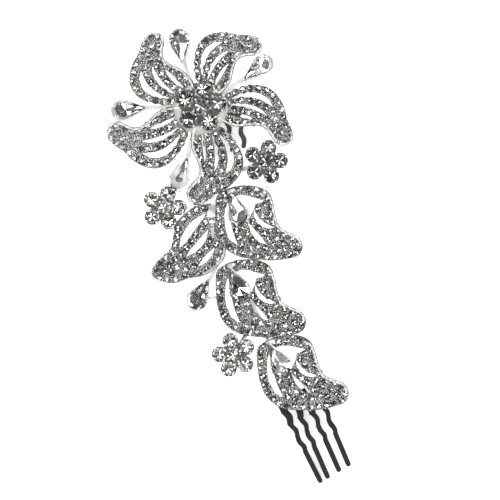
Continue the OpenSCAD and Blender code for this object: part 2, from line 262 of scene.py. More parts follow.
def turn_outwards() -> None:
    """Turns every face outwards, in edit mode."""
    bpy.ops.mesh.select_all(action="SELECT")
    bpy.ops.mesh.normals_make_consistent(inside=False)


def round_edges(obj: bpy.types.Object, width: float, segments: int = 3) -> None:
    """Rounds an object's sharp edges, and lets its other faces look smooth.

    Args:
        obj: The object.
        width: Width of the rounding, in the object's own units.
        segments: Faces across the rounding.
    """
    apply_modifier(obj, "BEVEL", width=width, segments=segments, limit_method="ANGLE", angle_limit=SHARP)
    bpy.ops.object.shade_smooth_by_angle(angle=SMOOTH)


def twin_of(source: bpy.types.Object, name: str) -> bpy.types.Object:
    """Copies an object with its mesh.

    Args:
        source: The object to copy.
        name: Name of the copy.

    Returns:
        The copy, which alone is selected.
    """
    twin = bpy.data.objects.new(name, source.data.copy())
    bpy.context.scene.collection.objects.link(twin)
    select_only(twin)
    return twin


def cad_twin(node: str, name: str) -> bpy.types.Object:
    """Copies a CAD node and merges its loose triangles.

    Args:
        node: The CAD node.
        name: Name of the copy.

    Returns:
        The copy in edit mode, selected all over.
    """
    twin = twin_of(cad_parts[node], name)
    bpy.ops.object.mode_set(mode="EDIT")
    bpy.ops.mesh.select_all(action="SELECT")
    bpy.ops.mesh.remove_doubles(threshold=MERGE)
    return twin


def copies(master: bpy.types.Object, places: list[Matrix], name: str) -> bpy.types.Object:
    """Copies a shape to every place, each copy with its own mesh, and joins them to one piece.

    Args:
        master: The shape, modelled once at the origin.
        places: Where each copy goes.
        name: Name of the joined piece.

    Returns:
        The piece, its object at the origin.
    """
    made = []
    for place in places:
        twin = bpy.data.objects.new(name, master.data.copy())
        twin.data.transform(place)
        bpy.context.scene.collection.objects.link(twin)
        made.append(twin)
    return joined(made, name)


def joined(parts: list[bpy.types.Object], name: str) -> bpy.types.Object:
    """Joins objects to one piece.

    Args:
        parts: The objects, at the origin.
        name: Name of the piece.

    Returns:
        The piece.
    """
    select_only(*parts)
    if len(parts) > 1:
        bpy.ops.object.join()
    piece = bpy.context.view_layer.objects.active
    piece.name = name
    piece.data.name = name
    return piece


def tube(points: list[Vector], radius: float, closed: bool, name: str, sides: int = 2) -> bpy.types.Object:
    """A round wire along a line.

    Args:
        points: The line.
        radius: Radius of the wire.
        closed: Whether the wire is a loop.
        name: Name of the object.
        sides: Half of the wire's sides, less one.

    Returns:
        The wire as a mesh object.
    """
    line = bpy.data.curves.new(name, "CURVE")
    line.dimensions = "3D"
    line.bevel_depth = radius
    line.bevel_resolution = sides - 1
    line.use_fill_caps = True
    spline = line.splines.new("POLY")
    spline.points.add(len(points) - 1)
    for target, p in zip(spline.points, points):
        target.co = (*p, 1)
    spline.use_cyclic_u = closed
    obj = bpy.data.objects.new(name, line)
    bpy.context.scene.collection.objects.link(obj)
    select_only(obj)
    bpy.ops.object.convert(target="MESH")
    bpy.ops.object.shade_smooth()
    return bpy.context.view_layer.objects.active


def dress(piece: bpy.types.Object, material: bpy.types.Material, slot: Slot, *nodes: str) -> None:
    """Gives a finished piece its material and body, and hides the CAD nodes that it stands for.

    Args:
        piece: The piece.
        material: Its material.
        slot: Not used.
        nodes: CAD nodes that it replaces.
    """
    piece.data.materials.clear()
    piece.data.materials.append(material)
    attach(piece, BODY)
    if nodes:
        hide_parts(*nodes)
    log.info("%s: %d faces", piece.name, len(piece.data.polygons))


# Finishes


def wear_group() -> bpy.types.NodeTree:
    """The fine unevenness of a polished surface, as a group that every finish uses.

    Returns:
        A group with Scale, Amount and Base inputs, and Roughness and Height outputs.
    """
    group = bpy.data.node_groups.new("Fine unevenness", "ShaderNodeTree")
    for name, value in (("Scale", 400.0), ("Amount", 0.05), ("Base", 0.15)):
        socket = group.interface.new_socket(name=name, in_out="INPUT", socket_type="NodeSocketFloat")
        socket.default_value = value
    for name in ("Roughness", "Height"):
        group.interface.new_socket(name=name, in_out="OUTPUT", socket_type="NodeSocketFloat")
    start = group.nodes.new("NodeGroupInput")
    end = group.nodes.new("NodeGroupOutput")
    place = group.nodes.new("ShaderNodeTexCoord")
    noise = group.nodes.new("ShaderNodeTexNoise")
    noise.inputs["Detail"].default_value = 3
    spread = group.nodes.new("ShaderNodeMath")
    spread.operation = "MULTIPLY_ADD"
    group.links.new(place.outputs["Object"], noise.inputs["Vector"])
    group.links.new(start.outputs["Scale"], noise.inputs["Scale"])
    group.links.new(noise.outputs["Fac"], spread.inputs[0])
    group.links.new(start.outputs["Amount"], spread.inputs[1])
    group.links.new(start.outputs["Base"], spread.inputs[2])
    group.links.new(spread.outputs[0], end.inputs["Roughness"])
    group.links.new(noise.outputs["Fac"], end.inputs["Height"])
    return group


@dataclass(frozen=True)
class Finish:
    """A finish: its shader values and the unevenness of its surface."""

    name: str
    color: tuple[float, float, float]
    metallic: float = 0.0
    roughness: float = 0.1
    spread: float = 0.05
    scale: float = 400.0
    bump_mm: float = 0.0
    transmission: float = 0.0
    ior: float = 1.5

    def material(self, unevenness: bpy.types.NodeTree) -> bpy.types.Material:
        """Builds the material.

        Args:
            unevenness: The shared group of fine unevenness.

        Returns:
            The material.
        """
        made = bpy.data.materials.new(self.name)
        made.use_nodes = True
        tree = made.node_tree
        shader = tree.nodes["Principled BSDF"]
        plain = {
            "Base Color": (*self.color, 1), "Metallic": self.metallic, "Roughness": self.roughness,
            "Transmission Weight": self.transmission, "IOR": self.ior,
        }
        for name, value in plain.items():
            shader.inputs[name].default_value = value
        if self.spread:
            fine = tree.nodes.new("ShaderNodeGroup")
            fine.node_tree = unevenness
            fine.inputs["Scale"].default_value = self.scale
            fine.inputs["Amount"].default_value = self.spread
            fine.inputs["Base"].default_value = self.roughness
            tree.links.new(fine.outputs["Roughness"], shader.inputs["Roughness"])
            if self.bump_mm:
                bump = tree.nodes.new("ShaderNodeBump")
                bump.inputs["Strength"].default_value = 0.5
                bump.inputs["Distance"].default_value = self.bump_mm * MM
                tree.links.new(fine.outputs["Height"], bump.inputs["Height"])
                tree.links.new(bump.outputs["Normal"], shader.inputs["Normal"])
        return made


# The stones' foils are darker than a silvered back, partly for the glass's own loss of light and partly as
# painted shade; the dark and pale copies below carry more or less of that shade for each group of stones
STONE_BACK = Finish("Stone back with painted shade", (0.46, 0.455, 0.44), 1, 0.02, spread=0.03, scale=900)
BLACK = Finish("Black enamel", (0.02, 0.02, 0.02), 0, 0.42, spread=0.15, scale=300, bump_mm=0.04, ior=1.25)
FINISHES = {
    "silver": Finish("Silver plate", (0.89, 0.89, 0.88), 1, 0.26, spread=0.12, scale=600, bump_mm=0.05),
    # Painted light: a paler, less metallic copy of the silver, so that the stems show white
    "bright": Finish("Plate with painted light", (0.97, 0.97, 0.96), 0.4, 0.42, spread=0.12, scale=600),
    # Painted shade: a darker, warm grey copy of the silver for the collar round the centre stones, for the
    # shade of those stones
    "satin_painted_shade": Finish("Satin plate with painted shade", (0.60, 0.60, 0.565), 1, 0.34, spread=0.15, scale=500, bump_mm=0.06),
    # Painted shade: a dark copy of the silver, for the ground between the small stones, the cups, the edge
    # wires and the floret plates
    "painted_shade": Finish("Plate with painted shade", (0.18, 0.18, 0.17), 1, 0.3, spread=0.2, scale=900),
    "foil": STONE_BACK,
    "foil_deep_painted_shade": replace(STONE_BACK, name="Stone back with deep painted shade", color=(0.42, 0.42, 0.41)),
    "foil_less_painted_shade": replace(STONE_BACK, name="Stone back with less painted shade", color=(0.62, 0.615, 0.6)),
    "drop_foil": replace(STONE_BACK, name="Silvered stone back", color=(0.80, 0.80, 0.79)),
    "crystal": Finish("Clear crystal", (1, 1, 1), roughness=0.0, spread=0.0, transmission=1, ior=1.54),
    "enamel": BLACK,
    # Painted light: a paler copy of the black enamel for the upper comb, which lies in more light
    "enamel_painted_light": replace(BLACK, name="Enamel with painted light", color=(0.075, 0.075, 0.075), roughness=0.45),
}


@dataclass
class Finishes:
    """Every material of the piece, made once."""

    silver: bpy.types.Material = field(init=False)
    bright: bpy.types.Material = field(init=False)
    satin_painted_shade: bpy.types.Material = field(init=False)
    painted_shade: bpy.types.Material = field(init=False)
    foil: bpy.types.Material = field(init=False)
    foil_deep_painted_shade: bpy.types.Material = field(init=False)
    foil_less_painted_shade: bpy.types.Material = field(init=False)
    drop_foil: bpy.types.Material = field(init=False)
    crystal: bpy.types.Material = field(init=False)
    enamel: bpy.types.Material = field(init=False)
    enamel_painted_light: bpy.types.Material = field(init=False)

    def __post_init__(self) -> None:
        """Builds the materials."""
        group = wear_group()
        for name, finish in FINISHES.items():
            setattr(self, name, finish.material(group))


# The casting's plan


@dataclass
class Casting:
    """One pierced petal or leaf: its plan, and the rows of stones that it carries."""

    name: str
    outline: list[Point]
    openings: list[list[Point]]
    at: Point
    turn: float = 0.0
    scale: Point = (1.0, 1.0)
    raised: tuple[int, int] = (0, 0)
    under: list["Casting"] = field(default_factory=list)
    loops: list[list[Point]] = field(init=False)
    tree: KDTree = field(init=False)
    grid: list[Point] = field(init=False, default_factory=list)

    BOUNDARY_STEP = 0.3

    def __post_init__(self) -> None:
        """Places the outline and the openings in the whole piece's plan."""
        shapes = [closed_curve(self.outline, OUTLINE_STEPS)] + self.openings
        self.loops = [even_steps([self.placed(p) for p in shape], self.BOUNDARY_STEP) for shape in shapes]
        count = sum(len(loop) for loop in self.loops)
        self.tree = KDTree(count)
        for i, p in enumerate(p for loop in self.loops for p in loop):
            self.tree.insert((*p, 0), i)
        self.tree.balance()

    def placed(self, point: Point) -> Point:
        """Takes a point of the casting's own frame to the whole piece's plan.

        Args:
            point: The point.

        Returns:
            The same point of the placed casting.
        """
        x, y = point[0] * self.scale[0], point[1] * self.scale[1]
        c, s = math.cos(math.radians(self.turn)), math.sin(math.radians(self.turn))
        return (self.at[0] + x * c - y * s, self.at[1] + x * s + y * c)

    def holds(self, point: Point) -> bool:
        """Whether the casting has metal at a point of the plan."""
        return inside(point, self.loops[0]) and not any(inside(point, loop) for loop in self.loops[1:])

    def hidden(self, point: Point, margin: float) -> bool:
        """Whether a casting that lies over this one covers a point of the plan, or comes near it."""
        return any(inside(point, c.loops[0]) or c.edge_distance(point) < margin for c in self.under)

    def raised_line(self) -> list[Point]:
        """The part of the outline that has a broad raised border."""
        first, last = self.raised
        return [self.placed(p) for p in open_curve(self.outline[first:last], LINE_STEPS)]

    def edge_distance(self, point: Point) -> float:
        """Distance in plan from a point to the nearest edge."""
        return self.tree.find((*point, 0))[2]

    def stone_places(self, pave: "Pave", free: Callable[[Point, float], bool]) -> list[tuple[Point, float]]:
        """Where the stones sit: rows along every edge, then smaller and smaller ones between the rows.

        Args:
            pave: Sizes of the stones and their spacing.
            free: Tells whether a point of the plan has room for a stone of a given radius.

        Returns:
            The places in plan, each with the stone's size as a share of the full one.
        """
        found: list[tuple[Point, float]] = []
        self.grid = self.even_grid(pave.search_step)

        def fits(p: Point, share: float, least: float) -> bool:
            """Whether a stone has room at a point.

            Args:
                p: The point.
                share: The stone's size as a share of the full one.
                least: How far from every edge it has to be.

            Returns:
                True if it has.
            """
            return (
                all(math.dist(p, q) >= pave.pitch * (share + other) / 2 for q, other in found)
                and self.edge_distance(p) >= least
                and self.holds(p)
                and free(p, pave.stone_d / 2 * share)
            )

        for share in pave.shares:
            edge = pave.stone_d / 2 * share + pave.margin
            reaches = [edge * (pave.hold + (1 - pave.hold) * k / pave.tries) for k in range(pave.tries + 1)]
            for loop in self.loops:
                for i, start in enumerate(loop):
                    way = square_to(loop[i - 2], loop[(i + 2) % len(loop)])
                    for side in (1, -1):
                        line = [along(start, way, side * reach) for reach in reaches]
                        p = max(line, key=lambda q: min(self.edge_distance(q), edge - pave.slack))
                        if fits(p, share, edge * pave.hold):
                            found.append((p, share))
            self.fill(found, fits, pave, share)
        return found

    def grain_places(
        self, pave: "Pave", stones: list[tuple[Point, float]], free: Callable[[Point, float], bool]
    ) -> list[Point]:
        """Where single grains of metal fill the gaps between the stones.

        Args:
            pave: Sizes of the stones and their spacing.
            stones: The stones' places and sizes.
            free: Tells whether a point of the plan has room for a grain of a given radius.

        Returns:
            The places in plan.
        """
        found: list[Point] = []
        for p in self.grid:
            room = all(math.dist(p, q) >= pave.stone_d / 2 * share + pave.grain_gap for q, share in stones)
            if room and all(math.dist(p, q) >= pave.grain_pitch for q in found):
                if self.edge_distance(p) >= pave.grain_r and free(p, pave.grain_r):
                    found.append(p)
        return found

    def even_grid(self, step: float) -> list[Point]:
        """Points of an even grid on the casting's metal.

        Args:
            step: Distance between them.

        Returns:
            The points that no other casting covers.
        """
        xs = [p[0] for p in self.loops[0]]
        ys = [p[1] for p in self.loops[0]]
        columns = int((max(xs) - min(xs)) / step)
        rows = int((max(ys) - min(ys)) / step)
        spots = [(min(xs) + i * step, min(ys) + j * step) for i in range(columns) for j in range(rows)]
        return [p for p in spots if self.holds(p) and not self.hidden(p, 0)]

    def fill(
        self,
        found: list[tuple[Point, float]],
        fits: Callable[[Point, float, float], bool],
        pave: "Pave",
        share: float,
    ) -> None:
        """Fills the room that is left with the most closely nestled stones of one size.

        Args:
            found: The stones that are there already, to which the new ones are added.
            fits: Tells whether a stone has room at a point.
            pave: Sizes of the stones and their spacing.
            share: Size of the new stones as a share of the full one.
        """
        edge = (pave.stone_d / 2 * share + pave.margin) * pave.hold
        spots = [p for p in self.grid if fits(p, share, edge)]
        while spots:
            best = min(spots, key=lambda p: sum(sorted(math.dist(p, q) for q, _ in found)[: pave.neighbours]))
            found.append((best, share))
            spots = [p for p in spots if math.dist(p, best) >= pave.pitch * share]


@dataclass
class Pave:
    """Sizes of the small stones and their spacing, in millimetres."""

    stone_d: float = 2.5
    pitch: float = 2.56
    margin: float = 0.05
    # The nearest that a stone may come to an edge, as a share of its full distance
    hold: float = 0.7
    # Height of the girdles above the metal, and the greatest random lean in degrees
    seat_h: float = 0.5
    tilt: float = 5.0
    shares: tuple[float, ...] = (1.0, 0.88, 0.74, 0.6)
    search_step: float = 0.25
    # How many steps inwards a row tries, how near to its best distance is enough, and how many neighbours
    # a stone between the rows nestles up to
    tries: int = 4
    slack: float = 0.01
    neighbours: int = 3
    grain_r: float = 0.3
    grain_gap: float = 0.18
    grain_pitch: float = 0.63


# The move that centres the whole piece, as in the solids
CENTRING = (0.3, -0.2)


def centred(x: float, y: float) -> Point:
    """A point of the drawing in the centred piece's plan."""
    return (x + CENTRING[0], y + CENTRING[1])


FLOWER = centred(-9.5, 49.7)

PETAL_OUTLINE = [
    (4.5, 2), (6.3, 7.6), (10, 11.7), (14, 14.6), (18, 15.5), (22, 14.4), (26, 11.2),
    (28.3, 7.7), (31, 4.9), (32.6, 2), (31.4, -1), (29, -2.1), (26.4, -1.1), (24, 0.8),
    (21.3, 1.6), (18, 0.5), (14.5, -1.5), (10.5, -2.2), (6.5, -1.8),
]
PETAL_SLOTS = [
    ([(8.3, 6.6), (11, 9.1), (14, 10.8), (17, 11.4), (20, 10.9), (22.4, 9.8)], 2.1),
    ([(8.6, 4.4), (11, 5.7), (14, 6.5), (17, 6.8), (19.6, 6.6), (21.8, 6)], 1.3),
    ([(8.8, 1.2), (11, 2), (13.5, 2.5), (16, 2.9), (18.4, 3)], 1.2),
]
# One row for each petal: direction, reach, spread
PETAL_ROWS = [(-22, 1, 0.93), (47, 0.93, 0.97), (122.5, 0.93, 1.05), (-166.4, 1.01, 1.07), (-95.2, 1, 1.03)]

LEAF_OUTLINE = [
    (-2.6, 0.3), (-4.5, -1.6), (-4.8, -5), (-4.7, -9), (-4.2, -13), (-2.7, -17.4),
    (0.2, -20.7), (3.9, -22.5), (9, -23.3), (15, -23.5), (20.6, -22.7), (24.2, -21.4),
    (25.5, -18.3), (24, -15), (20.4, -13.3), (17.4, -11.6), (15.9, -8), (15, -3.5),
    (13.3, 0.4), (9.5, 2.3), (4.5, 2.6), (0.6, 1.8),
]
LEAF_SLOTS = [
    ([(-0.6, -3.6), (-0.7, -8), (-0.1, -12.5), (1.4, -16.4), (3.4, -18.6)], 2.3),
    ([(6.6, -10.2), (8.2, -13.3), (9.8, -15.2), (11.3, -16.7), (12.8, -17.8)], 1.9),
    ([(8.4, -6), (9.1, -8.2), (10.2, -9.9), (11.8, -11), (13.6, -11.7), (15.6, -11.9)], 1.6),
]
LEAF_WINDOW = [
    (1.8, -1.4), (5.7, -0.9), (9.6, -2), (11.8, -2.6), (10.5, -3.4), (8.8, -3.8),
    (8.4, -5.4), (7, -8.6), (5, -10.6), (3, -10.6), (1.6, -8), (0.8, -4),
]
# One row for each trailing leaf: x, y, turn, reach, spread
LEAF_ROWS = [(0.3, 21.3, -2, 0.98, 0.95), (0.3, -3.7, 0, 1, 1), (13.7, -29.3, 3.7, 0.99, 0.98)]

SIDE_OUTLINE = [
    (-6, 17.4), (-11.4, 16.4), (-15.4, 13.6), (-18, 10.4), (-18.6, 6.6), (-19.4, 2.6),
    (-22.4, -0.2), (-25.4, -3.6), (-25.7, -6.8), (-22.4, -8.5), (-18.2, -9.1),
    (-13.2, -7.4), (-8.8, -6.7), (-4.6, -4.2), (-1.6, -0.4), (-0.8, 5), (-1.4, 11), (-2.4, 16),
]
SIDE_SLOTS = [
    ([(-7.8, 14), (-10.6, 11.6), (-13.2, 8.6), (-15.2, 5.2), (-16.4, 2.8)], 2.6),
    ([(-6.9, 9), (-8.3, 6), (-10, 3.8), (-12, 1.8), (-14.4, -0.4)], 2.1),
    ([(-4.8, 2.8), (-6.6, 0.3), (-8.2, -1.5), (-10.4, -3.6)], 1.7),
]

# One row for each drop: x and y of its point, direction
DROP_ROWS = [
    (-15.2, 63.7, 98.7), (4.7, 58.7, 36.4), (-27.3, 49.5, 187.5), (-13.7, 33, 248.2), (-6.5, -7.3, 240.3),
    (0.3, 21.3, -68.5), (0.3, -3.7, -66.5), (13.7, -29.3, -62.8),
]
# One row for each floret: x, y, direction of its first stone
FLORET_ROWS = [(12.2, 31.3, 6), (-21.7, 16, 2), (1.7, -33, 33)]

# How each large stone sits in its cup: turn about its own axis, lean about its X and about its Y, in degrees.
# They are guesses: a search outside this script tried random leans and kept those nearest to the real looks
STONE_LEANS: dict[str, Place] = {
    "centre_stone_1": (-8.1, -3.2, -6.8), "centre_stone_2": (-7, 4.8, -5.1),
    "centre_stone_3": (2.4, 5.3, -3.3), "centre_stone_4": (0.1, -6.5, -3.8),
    "centre_stone_5": (4, 7.7, -1.6), "centre_stone_6": (10.3, -6.8, -2.9),
    "floret_1_stone_1": (2.5, -2.3, -3.6), "floret_1_stone_2": (-4.5, -3.2, 7.3),
    "floret_1_stone_3": (-4.8, 5.6, 3.3), "floret_1_stone_4": (13.3, 7.8, 7.8),
    "floret_1_stone_5": (3.9, 6.2, 5.4), "floret_1_stone_6": (-5.4, 3.7, 7.9),
    "floret_2_stone_1": (6, -0.9, -4.2), "floret_2_stone_2": (-11.6, -7.9, -4.4),
    "floret_2_stone_3": (-11.2, 5.5, 2.2), "floret_2_stone_4": (-8.8, 7, -2.8),
    "floret_2_stone_5": (11.2, -3.2, 1), "floret_2_stone_6": (-8.8, -7, -7),
    "floret_3_stone_1": (0.3, 7.9, 5.2), "floret_3_stone_2": (-13.8, 7.7, 3.6),
    "floret_3_stone_3": (4.4, 5.9, 0.7), "floret_3_stone_4": (3.6, 4, 0.2),
    "floret_3_stone_5": (-6, -6.3, 3.2), "floret_3_stone_6": (11, 4.9, -3.1),
    "drop_1": (0, 6.8, -4.4), "drop_2": (0, 5.9, 2.9), "drop_3": (0, -2.2, 2.9),
    "drop_4": (0, -1.1, 5.9), "drop_5": (0, 3.3, 1.4), "drop_6": (0, -9, 1.1),
    "drop_7": (0, -9.2, -8.6), "drop_8": (0, -10.7, -13),
}

# How far past a round stone's edge its cup carries painted shade
CUP_PAINTED_SHADE = 0.8
# The stones whose foils carry the deepest painted shade: the lily's and the first floret's
DEEP_PAINTED_SHADE_STONES = ("centre_stone", "floret_1")

# Pairs of castings of which the second lies over the first
LYING_OVER = [
    ("leaf_1", "petal_5"), ("side_leaf", "petal_5"), ("side_leaf", "leaf_1"), ("leaf_2", "leaf_1"),
    ("leaf_2", "side_leaf"), ("leaf_3", "leaf_2"),
]
# Smooth places without small stones: x, y, radius
SMOOTH_PLACES = [
    (FLOWER[0], FLOWER[1] - 0.9, 8.6),
    (-5.3, 16.5, 1.3), (-5.6, 14, 1.5), (-5.3, 11.2, 1.0), (-5.3, 8.6, 1.0), (-5.1, 6.8, 0.6),
]
# Small wire loops beside the drops and florets: x, y, height, radius
LOOP_ROWS = [
    (-17.6, 30.9, 7.0, 1.1), (-11.6, -7.8, 6.6, 1.0), (-29.0, 51.9, 6.8, 0.9), (7.0, 57.9, 6.8, 1.0),
    (-1.2, -24.0, 6.6, 1.1), (13.4, 23.7, 6.8, 1.1), (-25.2, 18.9, 6.6, 0.9),
]
# Smooth root of each trailing leaf, in its own frame: x, y, radius
LEAF_ROOT = (0.2, 1.0, 1.4)
# The points of each kind's outline between which its edge is raised
PETAL_RAISED, LEAF_RAISED, SIDE_RAISED = (8, 19), (12, 19), (12, 16)


def smooth_places() -> list[Place]:
    """Every smooth place of the castings.

    Returns:
        x, y and radius of each.
    """
    roots = []
    for x, y, turn, reach, spread in LEAF_ROWS:
        a = math.radians(turn)
        u, v = LEAF_ROOT[0] * reach, LEAF_ROOT[1] * spread
        cx, cy = centred(x, y)
        dx, dy = u * math.cos(a) - v * math.sin(a), u * math.sin(a) + v * math.cos(a)
        roots.append((cx + dx, cy + dy, LEAF_ROOT[2]))
    return SMOOTH_PLACES + roots


def castings() -> list[Casting]:
    """All petals and leaves, as the solids have them.

    Returns:
        The castings.
    """
    petal_slots, leaf_slots, side_slots = (
        [slot_shape(path, width) for path, width in rows] for rows in (PETAL_SLOTS, LEAF_SLOTS, SIDE_SLOTS)
    )
    leaf_slots.append(closed_curve(LEAF_WINDOW, LINE_STEPS))
    made = [
        Casting(f"petal_{i + 1}", PETAL_OUTLINE, petal_slots, FLOWER, turn, (reach, spread), PETAL_RAISED)
        for i, (turn, reach, spread) in enumerate(PETAL_ROWS)
    ]
    made += [
        Casting(f"leaf_{i + 1}", LEAF_OUTLINE, leaf_slots, centred(x, y), turn, (reach, spread), LEAF_RAISED)
        for i, (x, y, turn, reach, spread) in enumerate(LEAF_ROWS)
    ]
    made.append(Casting("side_leaf", SIDE_OUTLINE, side_slots, CENTRING, raised=SIDE_RAISED))
    by_name = {c.name: c for c in made}
    for low, high in LYING_OVER:
        by_name[low].under.append(by_name[high])
    return made


# Stones


@dataclass
class StoneCut:
    """Proportions of a cut stone over its width, with a flatter pavilion than in the solids."""

    crown: float = 0.15
    girdle: float = 0.06
    pavilion: float = 0.13
    table: float = 0.6
    culet: float = 0.06
    # The foil: its size over the stone's, its thickness, and how far below the girdle's middle it starts, as
    # a share of the girdle
    foil_gap: float = 0.965
    foil_t: float = 0.012
    foil_top: float = 0.51

    def stone(
        self, shape: list[Point], middle: Point, width: float, twist: float, name: str
    ) -> bpy.types.Object:
        """Cuts a stone from its girdle's outline, whose girdle, crown and pavilion are extruded and drawn in.

        Args:
            shape: The girdle's outline.
            middle: Where the facets run in to.
            width: The stone's width.
            twist: Turn of the table in degrees, which makes the crown's facets triangles.
            name: Name of the object.

        Returns:
            The stone, its girdle's middle at height 0.
        """
        n = len(shape)
        deselect()
        bpy.ops.mesh.primitive_circle_add(vertices=n, radius=1, fill_type="NGON")
        stone = bpy.context.active_object
        for vertex, p in zip(stone.data.vertices, shape):
            vertex.co = (*p, -width * self.girdle / 2)
        stone.name = name
        centre = (*middle, 0)
        bpy.ops.object.mode_set(mode="EDIT")
        bpy.ops.mesh.select_all(action="SELECT")
        extrude(0, 0, width * self.girdle)
        extrude(0, 0, width * self.crown)
        bpy.ops.transform.resize(value=(self.table, self.table, 1), center_override=centre)
        if twist:
            bpy.ops.transform.rotate(value=math.radians(twist), orient_axis="Z", center_override=centre)
        select_faces(stone, lambda f: f.center.z < 0 and abs(f.normal.z) > LEVEL)
        extrude(0, 0, -width * self.pavilion)
        bpy.ops.transform.resize(value=(self.culet, self.culet, 1), center_override=centre)
        if twist:
            select_faces(stone, lambda f: len(f.vertices) == 4 and f.center.z > -width * self.girdle)
            bpy.ops.mesh.quads_convert_to_tris()
        turn_outwards()
        bpy.ops.object.mode_set(mode="OBJECT")
        return stone

    def foil(self, stone: bpy.types.Object, width: float, name: str) -> bpy.types.Object:
        """The silvered back, just inside the stone's pavilion.

        Args:
            stone: The stone.
            width: Its width.
            name: Name of the object.

        Returns:
            The foil as a thin closed shell.
        """
        foil = twin_of(stone, name)
        bpy.ops.object.mode_set(mode="EDIT")
        select_faces(foil, lambda f: f.center.z > -width * self.girdle * self.foil_top)
        bpy.ops.mesh.delete(type="FACE")
        bpy.ops.mesh.select_all(action="SELECT")
        bpy.ops.transform.resize(value=(self.foil_gap,) * 3, center_override=(0, 0, 0))
        bpy.ops.object.mode_set(mode="OBJECT")
        apply_modifier(foil, "SOLIDIFY", thickness=width * self.foil_t, offset=1)
        return foil


def round_shape(d: float, sides: int) -> list[Point]:
    """A round girdle.

    Args:
        d: Its width.
        sides: How many sides it has.

    Returns:
        The outline.
    """
    return [
        (d / 2 * math.cos(2 * math.pi * i / sides), d / 2 * math.sin(2 * math.pi * i / sides))
        for i in range(sides)
    ]


def drop_shape(length: float, width: float, arc_steps: int) -> list[Point]:
    """A pear-shaped girdle, its point at the origin.

    Args:
        length: From the point to the round end.
        width: Its greatest width.
        arc_steps: Sides of the round end.

    Returns:
        The outline.
    """
    r = width / 2
    reach = length - r
    tangent = math.acos(r / reach)
    sweep = 2 * (math.pi - tangent)
    arc = [-(math.pi - tangent) + i * sweep / arc_steps for i in range(arc_steps + 1)]
    return [(0.0, 0.0)] + [(reach + r * math.cos(a), r * math.sin(a)) for a in arc]


def upright(x: float, y: float, z: float, turn: float = 0.0) -> Matrix:
    """A place for a shape that was modelled in millimetres.

    Args:
        x, y, z: Its position in millimetres.
        turn: Its turn about the vertical, in degrees.

    Returns:
        The place in metres.
    """
    spun = Matrix.Rotation(math.radians(turn), 4, "Z")
    return Matrix.Translation(Vector((x, y, z)) * MM) @ spun @ Matrix.Scale(MM, 4)


# Sub-assemblies


